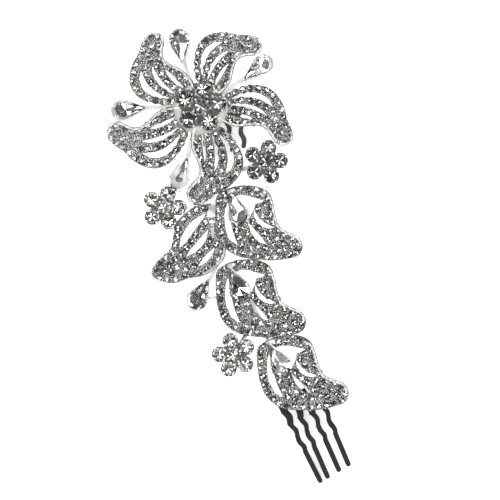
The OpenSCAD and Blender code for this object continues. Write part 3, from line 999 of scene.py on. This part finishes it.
@dataclass
class SilverFrame:
    """The plated casting: the CAD node's form, smoothed, with its edge wires, collar, plates and loops."""

    finishes: Finishes
    smooth_angle: float = 32.0
    # How much further than the ground with painted shade the finer faces reach, and how often their edges are
    # cut
    edge_zone: float = 3.0
    cuts: int = 2
    # The edge wires and raised borders: radius, height of their middle above the metal, distance between
    # points, and how far inside the edge the metal's height is read
    wire_r: float = 0.24
    wire_lift: float = 0.0
    wire_step: float = 0.6
    border_r: float = 0.38
    border_lift: float = 0.45
    probe: float = 0.5
    # The ground carries painted shade under the lily's middle, below a height under the small stones, and
    # above another height in the cups; the stems carry painted light below a third
    hub_r: float = 6.4
    ground_z: float = 10.0
    collar_z: float = 7.0
    stem_z: float = 7.3
    # Faces whose normal rises less than this are the castings' sides
    side_rise: float = 0.3
    # Height that rays start from to find the metal, in metres
    above_m: float = 0.05
    # The collar round the centre stones: outer and inner radius, height at each, thickness; its open side
    hub_sizes: tuple[float, float, float, float, float] = (9.1, 6.7, 8.85, 8.36, 0.5)
    hub_open: tuple[float, float] = (22, 168)
    hub_sides: int = 64
    # The dark plate behind each floret's stones, painted shade in the gaps between them: radius, height of
    # its top, thickness
    plate_sizes: Place = (4.3, 8.0, 0.5)
    plate_sides: int = 40
    plate_edge: float = 0.12
    loop_wire_r: float = 0.24
    loop_sides: int = 14
    # Places round the round stones' cups that carry painted shade: x, y, radius
    painted_shade_spots: list[Place] = field(default_factory=list)
    surface: BVHTree = field(init=False)

    def build(self, castings_: list[Casting]) -> bpy.types.Object:
        """Copies and smooths the CAD node, paints shade on the ground between the small stones, and paints
        light on the stems.

        Args:
            castings_: The castings.

        Returns:
            The frame.
        """
        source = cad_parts["silver_frame"]
        self.surface = BVHTree.FromObject(source, bpy.context.evaluated_depsgraph_get())
        body = cad_twin("silver_frame", "frame_casting")
        select_faces(body, lambda f: self.tone(f, castings_, self.edge_zone) > 0)
        bpy.ops.mesh.subdivide(number_cuts=self.cuts)
        bpy.ops.object.mode_set(mode="OBJECT")
        bpy.ops.object.shade_smooth_by_angle(angle=math.radians(self.smooth_angle))
        dress(body, self.finishes.silver, Slot.SILVER, "silver_frame")
        for finish in (self.finishes.painted_shade, self.finishes.bright):
            body.data.materials.append(finish)
        for face in body.data.polygons:
            face.material_index = self.tone(face, castings_, 0.0)
        return body

    def tone(self, face: bpy.types.MeshPolygon, castings_: list[Casting], margin: float) -> int:
        """Which of the frame's finishes a face has.

        Args:
            face: A face of the frame.
            castings_: The castings.
            margin: How much further the places reach, in millimetres, so that their edges are found.

        Returns:
            1 for the ground under small stones and round the cups, which carries painted shade, 2 for the
            stems, which carry painted light, or 0.
        """
        # Faces given 1 carry painted shade, and faces given 2 painted light
        x, y, z = (c / MM for c in face.center)
        if face.normal.z < self.side_rise:
            return 0
        if math.dist((x, y), FLOWER) < self.hub_r + margin:
            return 1
        if z > self.collar_z and any(math.dist((x, y), (a, b)) < r + margin for a, b, r in self.painted_shade_spots):
            return 1
        if not any(c.holds((x, y)) for c in castings_):
            return 0 if margin or z > self.stem_z else 2
        if any(math.dist((x, y), (a, b)) < r - margin for a, b, r in smooth_places()):
            return 0
        return 1 if z < self.ground_z else 0

    def hub_ring(self) -> None:
        """Models the smooth collar round the centre stones: a disc, opened, dished, cut and thickened."""
        reach, inner, top, inner_top, thickness = self.hub_sizes
        deselect()
        bpy.ops.mesh.primitive_circle_add(
            vertices=self.hub_sides, radius=reach, fill_type="NGON", location=(*FLOWER, top)
        )
        ring = bpy.context.active_object
        bpy.ops.object.transform_apply(location=True, rotation=False, scale=False)
        bpy.ops.object.mode_set(mode="EDIT")
        bpy.ops.mesh.select_all(action="SELECT")
        bpy.ops.mesh.inset(thickness=reach - inner)
        bpy.ops.transform.translate(value=(0, 0, inner_top - top))
        bpy.ops.mesh.delete(type="FACE")
        first, last = (math.radians(angle) for angle in self.hub_open)
        x, y = FLOWER
        select_faces(ring, lambda f: first < math.atan2(f.center.y - y, f.center.x - x) < last)
        bpy.ops.mesh.delete(type="FACE")
        bpy.ops.mesh.select_all(action="SELECT")
        extrude(0, 0, -thickness)
        turn_outwards()
        bpy.ops.transform.resize(value=(MM, MM, MM), center_override=(0, 0, 0))
        bpy.ops.object.mode_set(mode="OBJECT")
        round_edges(ring, self.plate_edge * MM)
        ring.name = ring.data.name = "hub_ring"
        # The collar's darker colour is painted shade
        dress(ring, self.finishes.satin_painted_shade, Slot.SILVER)

    def loops(self) -> None:
        """Bends the small wire loops that show beside the drops and florets."""
        made = []
        for x, y, z, r in LOOP_ROWS:
            turns = [2 * math.pi * k / self.loop_sides for k in range(self.loop_sides)]
            line = [Vector((x + r * math.cos(a), y + r * math.sin(a), z)) * MM for a in turns]
            made.append(tube(line, self.loop_wire_r * MM, True, "loop"))
        dress(joined(made, "wire_loops"), self.finishes.silver, Slot.SILVER)

    def floret_painted_shade_plates(self) -> None:
        """Models the round dark plate behind a floret's stones, painted shade in the gaps between them, and
        sets one in each floret.
        """
        reach, top, thickness = self.plate_sizes
        deselect()
        bpy.ops.mesh.primitive_circle_add(vertices=self.plate_sides, radius=reach, fill_type="NGON")
        plate = bpy.context.active_object
        bpy.ops.object.mode_set(mode="EDIT")
        bpy.ops.mesh.select_all(action="SELECT")
        extrude(0, 0, -thickness)
        turn_outwards()
        bpy.ops.object.mode_set(mode="OBJECT")
        round_edges(plate, self.plate_edge, segments=2)
        places = [upright(*centred(x, y), top) for x, y, _ in FLORET_ROWS]
        dress(copies(plate, places, "floret_painted_shade_plates"), self.finishes.painted_shade, Slot.SILVER)
        bpy.data.objects.remove(plate)

    def top(self, point: Point) -> float | None:
        """Height of the metal at a point of the plan, in millimetres, or None past its edges."""
        hit = self.surface.ray_cast(Vector((point[0] * MM, point[1] * MM, self.above_m)), Vector((0, 0, -1)))
        return None if hit[0] is None else hit[0].z / MM

    def rims(self, castings_: list[Casting]) -> None:
        """Lays a fine dark wire along every edge of each casting, painted shade, and a broad one along its
        raised border.

        Args:
            castings_: The castings.
        """
        for casting in castings_:
            wires = []
            for loop in casting.loops:
                line = even_steps(loop, self.wire_step)
                around = range(len(line))
                points = [self.rim_point(casting, line, i, self.wire_r, self.wire_lift) for i in around]
                runs = self.runs(points)
                whole = len(runs) == 1 and len(runs[0]) == len(line)
                wires += [tube(run, self.wire_r * MM, whole, "rim") for run in runs]
            # The fine edge wires are dark: painted shade along every edge
            dress(joined(wires, f"edge_{casting.name}"), self.finishes.painted_shade, Slot.SILVER)
            line = even_steps(casting.raised_line(), self.wire_step, closed=False)
            inner = range(1, len(line) - 1)
            inset = self.border_r + self.wire_r
            points = [self.rim_point(casting, line, i, inset, self.border_lift) for i in inner]
            borders = [tube(run, self.border_r * MM, False, "rim", 3) for run in self.runs(points)]
            if borders:
                dress(joined(borders, f"rim_{casting.name}"), self.finishes.silver, Slot.SILVER)

    def rim_point(
        self, casting: Casting, line: list[Point], i: int, inset: float, lift: float
    ) -> Vector | None:
        """A point of a wire on the metal near an edge.

        Args:
            casting: The casting.
            line: The edge's points.
            i: Which point of the edge.
            inset: How far inside the edge the wire lies.
            lift: How high its middle is above the metal.

        Returns:
            The point in metres, or None where there is no metal or another casting covers it.
        """
        way = square_to(line[i - 1], line[(i + 1) % len(line)])
        for side in (1, -1):
            p = along(line[i], way, side * inset)
            if casting.holds(p):
                z = self.top(along(line[i], way, side * self.probe))
                covered = z is None or casting.hidden(p, 0)
                return None if covered else Vector((p[0], p[1], z + lift)) * MM
        return None

    @staticmethod
    def runs(points: list[Vector | None], jump: float = 0.9) -> list[list[Vector]]:
        """Cuts a wire where a point is missing or its height jumps.

        Args:
            points: The points of the wire, with gaps.
            jump: The greatest step in height, in millimetres.

        Returns:
            The unbroken runs of at least three points.
        """
        runs, run = [], []
        for p in points:
            if p is None or (run and abs(p.z - run[-1].z) > jump * MM):
                runs.append(run)
                run = []
            if p is not None:
                run.append(p)
        runs.append(run)
        return [r for r in runs if len(r) > 2]


@dataclass
class PaveField:
    """The castings' small stones, each with its foil, its cup and four beads, and the grains between them."""

    finishes: Finishes
    metal: SilverFrame
    pave: Pave = field(default_factory=Pave)
    cut: StoneCut = field(default_factory=StoneCut)
    sides: int = 10
    cup_sides: int = 12
    cup_wall: float = 0.1
    cup_lip: float = 0.06
    # How far a cup reaches below the seat, and how much of its height is hollow
    cup_foot: float = 0.2
    cup_hollow: float = 0.9
    cup_smooth: float = 40.0
    bead_r: float = 0.22
    bead_out: float = 0.08
    grain_z: float = -0.35
    # The greatest step in height under one stone
    uneven: float = 1.3
    # How far from a stone's middle the lean of the metal is measured; the shorter ones are for narrow bands
    reaches: tuple[float, ...] = (0.8, 0.5, 0.3)
    draw: random.Random = field(default_factory=lambda: random.Random(7))

    def cup(self) -> bpy.types.Object:
        """Models one cup: a short round wall, hollow.

        Returns:
            The cup, the stone's girdle at height 0.
        """
        r = self.pave.stone_d / 2
        depth = self.pave.seat_h + self.cup_foot
        deselect()
        bpy.ops.mesh.primitive_cylinder_add(
            vertices=self.cup_sides, radius=r + self.cup_wall, depth=depth, location=(0, 0, -depth / 2)
        )
        wall = bpy.context.active_object
        bpy.ops.object.transform_apply(location=True, rotation=False, scale=False)
        bpy.ops.object.mode_set(mode="EDIT")
        select_faces(wall, lambda f: f.normal.z > LEVEL)
        bpy.ops.mesh.inset(thickness=self.cup_wall + self.cup_lip)
        extrude(0, 0, -depth * self.cup_hollow)
        bpy.ops.object.mode_set(mode="OBJECT")
        bpy.ops.object.shade_smooth_by_angle(angle=math.radians(self.cup_smooth))
        wall.name = "cup_master"
        return wall

    def beads(self) -> bpy.types.Object:
        """Models the four beads of metal that hold one stone.

        Returns:
            The beads, the stone's girdle at height 0.
        """
        made = []
        for k in range(4):
            a = math.pi / 4 + k * math.pi / 2
            reach = self.pave.stone_d / 2 + self.bead_out
            at = (reach * math.cos(a), reach * math.sin(a), self.bead_out)
            deselect()
            bpy.ops.mesh.primitive_ico_sphere_add(subdivisions=1, radius=self.bead_r, location=at)
            bpy.ops.object.transform_apply(location=True, rotation=False, scale=False)
            bpy.ops.object.shade_smooth()
            made.append(bpy.context.active_object)
        return joined(made, "bead_master")

    def place(self, p: Point, share: float) -> Matrix | None:
        """Where a stone sits: on the metal, leaning as the metal does, turned at random.

        Args:
            p: Its place in plan.
            share: Its size as a share of the full one.

        Returns:
            The place, or None where there is no even metal.
        """
        middle = self.metal.top(p)
        for reach in self.reaches:
            around = ((reach, 0), (-reach, 0), (0, reach), (0, -reach))
            heights = [self.metal.top((p[0] + dx, p[1] + dy)) for dx, dy in around]
            if None not in heights:
                break
        if middle is None or None in heights or max(abs(h - middle) for h in heights) > self.uneven:
            return None
        normal = Vector((heights[1] - heights[0], heights[3] - heights[2], 4 * reach)).normalized()
        wobble = math.tan(math.radians(self.pave.tilt))
        normal += Vector((self.draw.uniform(-wobble, wobble), self.draw.uniform(-wobble, wobble), 0))
        lean = Vector((0, 0, 1)).rotation_difference(normal).to_matrix().to_4x4()
        turn = Matrix.Rotation(self.draw.uniform(0, math.pi / 2), 4, "Z")
        lift = Vector((p[0], p[1], middle + self.pave.seat_h)) * MM
        return Matrix.Translation(lift) @ lean @ turn @ Matrix.Scale(MM * share, 4)

    def build(self, castings_: list[Casting], taken: list[tuple[Point, float]]) -> None:
        """Sets the stones on every casting.

        Args:
            castings_: The castings.
            taken: Places in plan that larger stones take, with their radii.
        """
        d = self.pave.stone_d
        stone = self.cut.stone(round_shape(d, self.sides), (0, 0), d, 180 / self.sides, "pave_master")
        parts = {
            "pave": (stone, self.finishes.crystal, Slot.CRYSTAL),
            "pave_foil": (self.cut.foil(stone, d, "foil_master"), self.finishes.foil, Slot.SILVER),
            # The cups carry painted shade: the dark gap round each stone
            "cups": (self.cup(), self.finishes.painted_shade, Slot.SILVER),
            "beads": (self.beads(), self.finishes.silver, Slot.SILVER),
        }
        grain = self.grain()
        total = 0
        for casting in castings_:

            def free(p: Point, radius: float) -> bool:
                """Whether a point of the casting has room for a round thing."""
                return not casting.hidden(p, radius) and all(math.dist(p, q) >= r + radius for q, r in taken)

            plan = casting.stone_places(self.pave, free)
            spots = [s for p, share in plan if (s := self.place(p, share)) is not None]
            total += len(spots)
            grains = [self.place(p, 1.0) for p in casting.grain_places(self.pave, plan, free)]
            grains = [s @ Matrix.Translation((0, 0, self.grain_z)) for s in grains if s is not None]
            if grains:
                dress(copies(grain, grains, f"grains_{casting.name}"), self.finishes.silver, Slot.SILVER)
            for kind, (master, finish, slot) in parts.items():
                dress(copies(master, spots, f"{kind}_{casting.name}"), finish, slot)
        for master in (grain, *(part[0] for part in parts.values())):
            bpy.data.objects.remove(master)
        log.info("pave stones: %d", total)

    def grain(self) -> bpy.types.Object:
        """Models one grain of the metal between the stones.

        Returns:
            The grain, its middle at the origin.
        """
        deselect()
        bpy.ops.mesh.primitive_ico_sphere_add(subdivisions=1, radius=self.pave.grain_r)
        bpy.ops.object.shade_smooth()
        return bpy.context.active_object


@dataclass
class LargeStones:
    """The centre stones, the florets and the drops, with their foils and claws."""

    finishes: Finishes
    cut: StoneCut = field(default_factory=StoneCut)
    drop_cut: StoneCut = field(default_factory=lambda: StoneCut(table=0.72, pavilion=0.15))
    centre_d: float = 5.5
    centre_ring: float = 5.75
    centre_turn: float = 83
    # Height of the outer stones' girdles, and how much higher the middle one's is
    centre_z: Point = (9.4, 1.2)
    floret_d: float = 4.7
    floret_ring: float = 4.85
    floret_z: Point = (9.0, 0.9)
    drop_l: float = 11.8
    drop_w: float = 6.8
    drop_z: float = 8.6
    # Where a drop's facets run in to, from its round end, as a share of its width
    drop_culet: float = 0.62
    round_sides: int = 16
    drop_arc: int = 6
    # Room kept free of small stones: how much round each stone, how far along a drop, its half width there
    room: float = 0.1
    drop_shares: tuple[float, ...] = (0.25, 0.45, 0.65, 0.72)
    drop_flare: float = 0.48
    claw_r: float = 0.34
    claw_h: float = 1.0
    claw_sides: int = 8
    # In radii of the claw: how far outside the stone's edge it stands, and for each bend of its top how far
    # it goes inwards and upwards, how much it narrows, and how far inwards the narrowing is centred
    claw_out: float = 0.7
    claw_bends: tuple[tuple[float, float, float, float], ...] = ((0.8, 1.1, 0.85, 0), (0.5, 0.3, 0.45, 0.7))
    claw_smooth: float = 70.0
    # Direction of the first of a round stone's four claws
    claw_turn: float = 35
    # Directions of the claws round a drop's round end, and how far the fifth one is from its point
    drop_claws: tuple[float, ...] = (-112, -35, 35, 112)
    point_claw: float = 0.15

    @staticmethod
    def ring_places(at: Point, ring: float, turn: float, z: Point) -> list[Place]:
        """Places of a middle stone and five round it.

        Args:
            at: The middle in plan.
            ring: Distance of the outer stones.
            turn: Direction that the outer ones start from.
            z: Height of the outer girdles, and how much higher the middle one is.

        Returns:
            x, y and z of the six girdles.
        """
        places = [(at[0], at[1], z[0] + z[1])]
        for i in range(1, 6):
            a = math.radians(turn + 72 * i)
            places.append((at[0] + ring * math.cos(a), at[1] + ring * math.sin(a), z[0]))
        return places

    def rounds(self) -> list[tuple[str, float, Place]]:
        """Lists the round stones.

        Returns:
            Each one's CAD node, diameter and place.
        """
        lily = self.ring_places(FLOWER, self.centre_ring, self.centre_turn, self.centre_z)
        found = [(f"centre_stone_{i + 1}", self.centre_d, place) for i, place in enumerate(lily)]
        for f, (x, y, turn) in enumerate(FLORET_ROWS):
            for i, place in enumerate(self.ring_places(centred(x, y), self.floret_ring, turn, self.floret_z)):
                found.append((f"floret_{f + 1}_stone_{i + 1}", self.floret_d, place))
        return found

    def taken(self) -> list[tuple[Point, float]]:
        """Lists the places where no small stone may sit.

        Returns:
            Each place in plan, with its radius.
        """
        places = [((x, y), r) for x, y, r in smooth_places()]
        places += [((p[0], p[1]), d / 2 + self.room) for _, d, p in self.rounds()]
        for x, y, turn in DROP_ROWS:
            way = (math.cos(math.radians(turn)), math.sin(math.radians(turn)))
            for share in self.drop_shares:
                reach = self.drop_l * share
                half = min(self.drop_w / 2, reach * self.drop_flare)
                places.append((along(centred(x, y), way, reach), half + self.room))
        return places

    def build(self) -> None:
        """Cuts every large stone, with its foil."""
        masters = {}
        for d in (self.centre_d, self.floret_d):
            shape = round_shape(d, self.round_sides)
            stone = self.cut.stone(shape, (0, 0), d, 180 / self.round_sides, "round_master")
            masters[d] = (stone, self.cut.foil(stone, d, "round_foil_master"))
        for node, d, (x, y, z) in self.rounds():
            self.set_stone(node, masters[d], self.leaning(node, x, y, z, 0))
        shape = drop_shape(self.drop_l, self.drop_w, self.drop_arc)
        middle = (self.drop_l - self.drop_culet * self.drop_w, 0)
        stone = self.drop_cut.stone(shape, middle, self.drop_w, 0.0, "drop_master")
        masters[0] = (stone, self.drop_cut.foil(stone, self.drop_w, "drop_foil_master"))
        for i, (x, y, turn) in enumerate(DROP_ROWS):
            node = f"drop_{i + 1}"
            place = self.leaning(node, *centred(x, y), self.drop_z, turn, self.drop_l / 2)
            self.set_stone(node, masters[0], place)
        for pair in masters.values():
            for master in pair:
                bpy.data.objects.remove(master)
        self.claws()

    @staticmethod
    def leaning(node: str, x: float, y: float, z: float, turn: float, middle: float = 0.0) -> Matrix:
        """Where a large stone sits, with its small turn and lean.

        Args:
            node: The CAD node that the stone replaces.
            x, y, z: Its place in millimetres.
            turn: Its direction in degrees.
            middle: How far its middle is from its place. A drop whose round end rises leans about its middle,
                and any other one about its point.

        Returns:
            The place in metres.
        """
        spin, about_x, about_y = STONE_LEANS[node]
        lean = Matrix.Rotation(math.radians(about_x), 4, "X") @ Matrix.Rotation(math.radians(about_y), 4, "Y")
        pivot = Matrix.Translation((middle if about_y < 0 else 0, 0, 0))
        return upright(x, y, z, turn + spin) @ pivot @ lean @ pivot.inverted()

    def claw(self) -> bpy.types.Object:
        """Models one claw: a round post whose top leans over the stone.

        Returns:
            The claw, its stone's edge at the origin and the stone on the -X side.
        """
        r, tall = self.claw_r, self.claw_h
        deselect()
        at = (r * self.claw_out, 0, -tall / 2)
        bpy.ops.mesh.primitive_cylinder_add(vertices=self.claw_sides, radius=r, depth=tall, location=at)
        claw = bpy.context.active_object
        bpy.ops.object.transform_apply(location=True, rotation=False, scale=False)
        bpy.ops.object.mode_set(mode="EDIT")
        select_faces(claw, lambda f: f.normal.z > LEVEL)
        for inwards, upwards, narrower, middle in self.claw_bends:
            extrude(-r * inwards, 0, r * upwards)
            bpy.ops.transform.resize(value=(narrower, narrower, 1), center_override=(-r * middle, 0, r))
        bpy.ops.object.mode_set(mode="OBJECT")
        bpy.ops.object.shade_smooth_by_angle(angle=math.radians(self.claw_smooth))
        claw.name = "claw_master"
        return claw

    def claws(self) -> None:
        """Sets four claws round every round stone and five round every drop."""
        claw = self.claw()
        places = [
            upright(*at, self.claw_turn + 90 * k) @ Matrix.Translation((d / 2, 0, 0))
            for _, d, at in self.rounds()
            for k in range(4)
        ]
        dress(copies(claw, places, "claws_round_stones"), self.finishes.silver, Slot.SILVER)
        places = []
        middle = Matrix.Translation((self.drop_l - self.drop_w / 2, 0, 0))
        edge = Matrix.Translation((self.drop_w / 2, 0, 0))
        point = Matrix.Rotation(math.pi, 4, "Z") @ Matrix.Translation((-self.point_claw, 0, 0))
        for x, y, turn in DROP_ROWS:
            at = upright(*centred(x, y), self.drop_z, turn)
            places.append(at @ point)
            for angle in self.drop_claws:
                places.append(at @ middle @ Matrix.Rotation(math.radians(angle), 4, "Z") @ edge)
        dress(copies(claw, places, "claws_drops"), self.finishes.silver, Slot.SILVER)
        bpy.data.objects.remove(claw)

    def set_stone(self, node: str, pair: tuple[bpy.types.Object, bpy.types.Object], place: Matrix) -> None:
        """Sets one stone and its foil in place.

        Args:
            node: The CAD node that the stone replaces.
            pair: The stone and the foil to copy.
            place: Where they go.
        """
        stone = copies(pair[0], [place], f"{node}_cut")
        dress(stone, self.finishes.crystal, Slot.CRYSTAL, node)
        foil = copies(pair[1], [place], f"{node}_foil")
        # The round stones' foils carry painted shade, deepest in the lily and the first floret
        if node.startswith("drop"):
            back = self.finishes.drop_foil
        elif node.startswith(DEEP_PAINTED_SHADE_STONES):
            back = self.finishes.foil_deep_painted_shade
        else:
            back = self.finishes.foil_less_painted_shade
        dress(foil, back, Slot.SILVER)


@dataclass
class Combs:
    """The two black combs, with rounded edges; the lower one's teeth grow broader towards their roots."""

    finishes: Finishes
    edge: float = 0.32
    # Faces that meet at less than this angle, in degrees, become one before the edges are rounded
    flat: float = 1.0
    # The lower comb's teeth: a point on their middle line and their direction in plan
    teeth_at: Point = (23.8, -47.2)
    teeth_along: Point = (0.4104, -0.9119)
    # The part of them that is broader, along that direction, and by how much on each side
    broad: tuple[float, float] = (-13.6, 7.0)
    broader: float = 0.34
    # Where their tips start along that direction, and how much further they reach
    tips_from: float = 12.0
    longer: float = 0.8

    def build(self) -> None:
        """Copies each CAD comb and rounds its edges."""
        for node in ("comb_lower", "comb_upper"):
            comb = cad_twin(node, f"{node}_enamelled")
            bpy.ops.mesh.dissolve_limited(angle_limit=math.radians(self.flat))
            if node == "comb_lower":
                self.shape_teeth(comb)
            bpy.ops.object.mode_set(mode="OBJECT")
            round_edges(comb, self.edge * MM)
            # The upper comb's paler enamel is painted light
            finish = self.finishes.enamel if node == "comb_lower" else self.finishes.enamel_painted_light
            dress(comb, finish, Slot.ENAMEL, node)

    def select_teeth(self, comb: bpy.types.Object, start: float, end: float) -> None:
        """In edit mode, selects the part of the lower comb's teeth between two places along them.

        Args:
            comb: The comb, in metres.
            start, end: The two places, in millimetres along the teeth.
        """
        bpy.ops.mesh.select_all(action="DESELECT")
        bpy.ops.object.mode_set(mode="OBJECT")
        for vertex in comb.data.vertices:
            x, y = vertex.co.x / MM - self.teeth_at[0], vertex.co.y / MM - self.teeth_at[1]
            vertex.select = start < x * self.teeth_along[0] + y * self.teeth_along[1] < end
        bpy.ops.object.mode_set(mode="EDIT")

    def shape_teeth(self, comb: bpy.types.Object) -> None:
        """Fattens the lower comb's teeth towards their roots and draws their tips out, in edit mode.

        Args:
            comb: The comb, in metres.
        """
        bpy.ops.mesh.select_mode(type="VERT")
        self.select_teeth(comb, *self.broad)
        bpy.ops.transform.shrink_fatten(value=self.broader * MM, use_even_offset=True)
        self.select_teeth(comb, self.tips_from, math.inf)
        reach = tuple(self.longer * MM * part for part in (*self.teeth_along, 0))
        bpy.ops.transform.translate(value=reach)
        bpy.ops.mesh.select_mode(type="FACE")


@dataclass
class Studio:
    """A pale floor, soft boxes on all sides, and the camera straight above."""

    lens_mm: float = 250.0
    sensor_mm: float = 36.0
    view_mm: float = 500 / 3
    aim: Point = (7.3, 1.8)
    focus_z: float = 8.0
    clip_m: float = 20.0
    floor_m: float = 3.0
    # Light of the room at the horizon and straight above
    room: tuple[float, float] = (0.08, 0.12)
    # One row for each ring of soft boxes: elevation, how many, direction of the first, size, radiance
    soft_boxes: tuple[tuple[float, int, float, float, float], ...] = (
        (74, 3, 20, 0.22, 1.7),
        (54, 6, 0, 0.26, 5.2),
        (34, 8, 15, 0.26, 5.2),
        (14, 8, 0, 0.22, 4.0),
    )

    def camera(self) -> None:
        """Sets the camera straight above, so that 3 pixels are a millimetre."""
        distance = self.view_mm * self.lens_mm / self.sensor_mm
        data = bpy.data.cameras.new("camera")
        data.lens = self.lens_mm
        data.sensor_width = self.sensor_mm
        data.clip_end = self.clip_m
        camera = bpy.data.objects.new("camera", data)
        camera.location = Vector((self.aim[0], self.aim[1], self.focus_z + distance)) * MM
        bpy.context.scene.collection.objects.link(camera)
        bpy.context.scene.camera = camera

    def floor(self) -> None:
        """Lays a plain pale floor under the piece."""
        deselect()
        bpy.ops.mesh.primitive_plane_add(size=self.floor_m)
        floor = bpy.context.active_object
        floor.name = "floor"
        material = bpy.data.materials.new("Pale floor")
        material.use_nodes = True
        shader = material.node_tree.nodes["Principled BSDF"]
        plain = {
            "Base Color": (0.93, 0.93, 0.93, 1), "Roughness": 0.9, "Specular IOR Level": 0.1,
            "Emission Color": (1, 1, 1, 1), "Emission Strength": 0.5,
        }
        for name, value in plain.items():
            shader.inputs[name].default_value = value
        floor.data.materials.append(material)

    def lights(self) -> None:
        """Sets the soft boxes and the even light of the room."""
        world = bpy.data.worlds.new("room")
        world.use_nodes = True
        nodes, links = world.node_tree.nodes, world.node_tree.links
        place = nodes.new("ShaderNodeTexCoord")
        height = nodes.new("ShaderNodeSeparateXYZ")
        fade = nodes.new("ShaderNodeMapRange")
        fade.inputs["To Min"].default_value, fade.inputs["To Max"].default_value = self.room
        links.new(place.outputs["Object"], height.inputs[0])
        links.new(height.outputs["Z"], fade.inputs["Value"])
        links.new(fade.outputs[0], nodes["Background"].inputs["Strength"])
        nodes["Background"].inputs["Color"].default_value = (1, 1, 1, 1)
        bpy.context.scene.world = world
        for elevation, count, start, size, radiance in self.soft_boxes:
            for i in range(count):
                data = bpy.data.lights.new("soft_box", "AREA")
                data.shape = "SQUARE"
                data.size = size
                data.energy = radiance * math.pi * size**2
                box = bpy.data.objects.new("soft_box", data)
                a, e = math.radians(start + 360 * i / count), math.radians(elevation)
                box.location = Vector((math.cos(a) * math.cos(e), math.sin(a) * math.cos(e), math.sin(e)))
                box.rotation_euler = (-box.location).to_track_quat("-Z", "Y").to_euler()
                bpy.context.scene.collection.objects.link(box)


def main() -> None:
    """Builds the studio and every sub-assembly in turn."""
    logging.basicConfig(level=logging.INFO, format="%(name)s: %(message)s", stream=sys.stdout)
    studio = Studio()
    studio.camera()
    studio.floor()
    studio.lights()
    bpy.context.scene.view_settings.view_transform = "Standard"
    finishes = Finishes()
    large = LargeStones(finishes)
    metal = SilverFrame(finishes, painted_shade_spots=[(p[0], p[1], d / 2 + CUP_PAINTED_SHADE) for _, d, p in large.rounds()])
    plan = castings()
    metal.build(plan)
    metal.rims(plan)
    metal.hub_ring()
    metal.loops()
    metal.floret_painted_shade_plates()
    PaveField(finishes, metal).build(plan, large.taken())
    large.build()
    Combs(finishes).build()


if __name__ == "__main__":
    main()
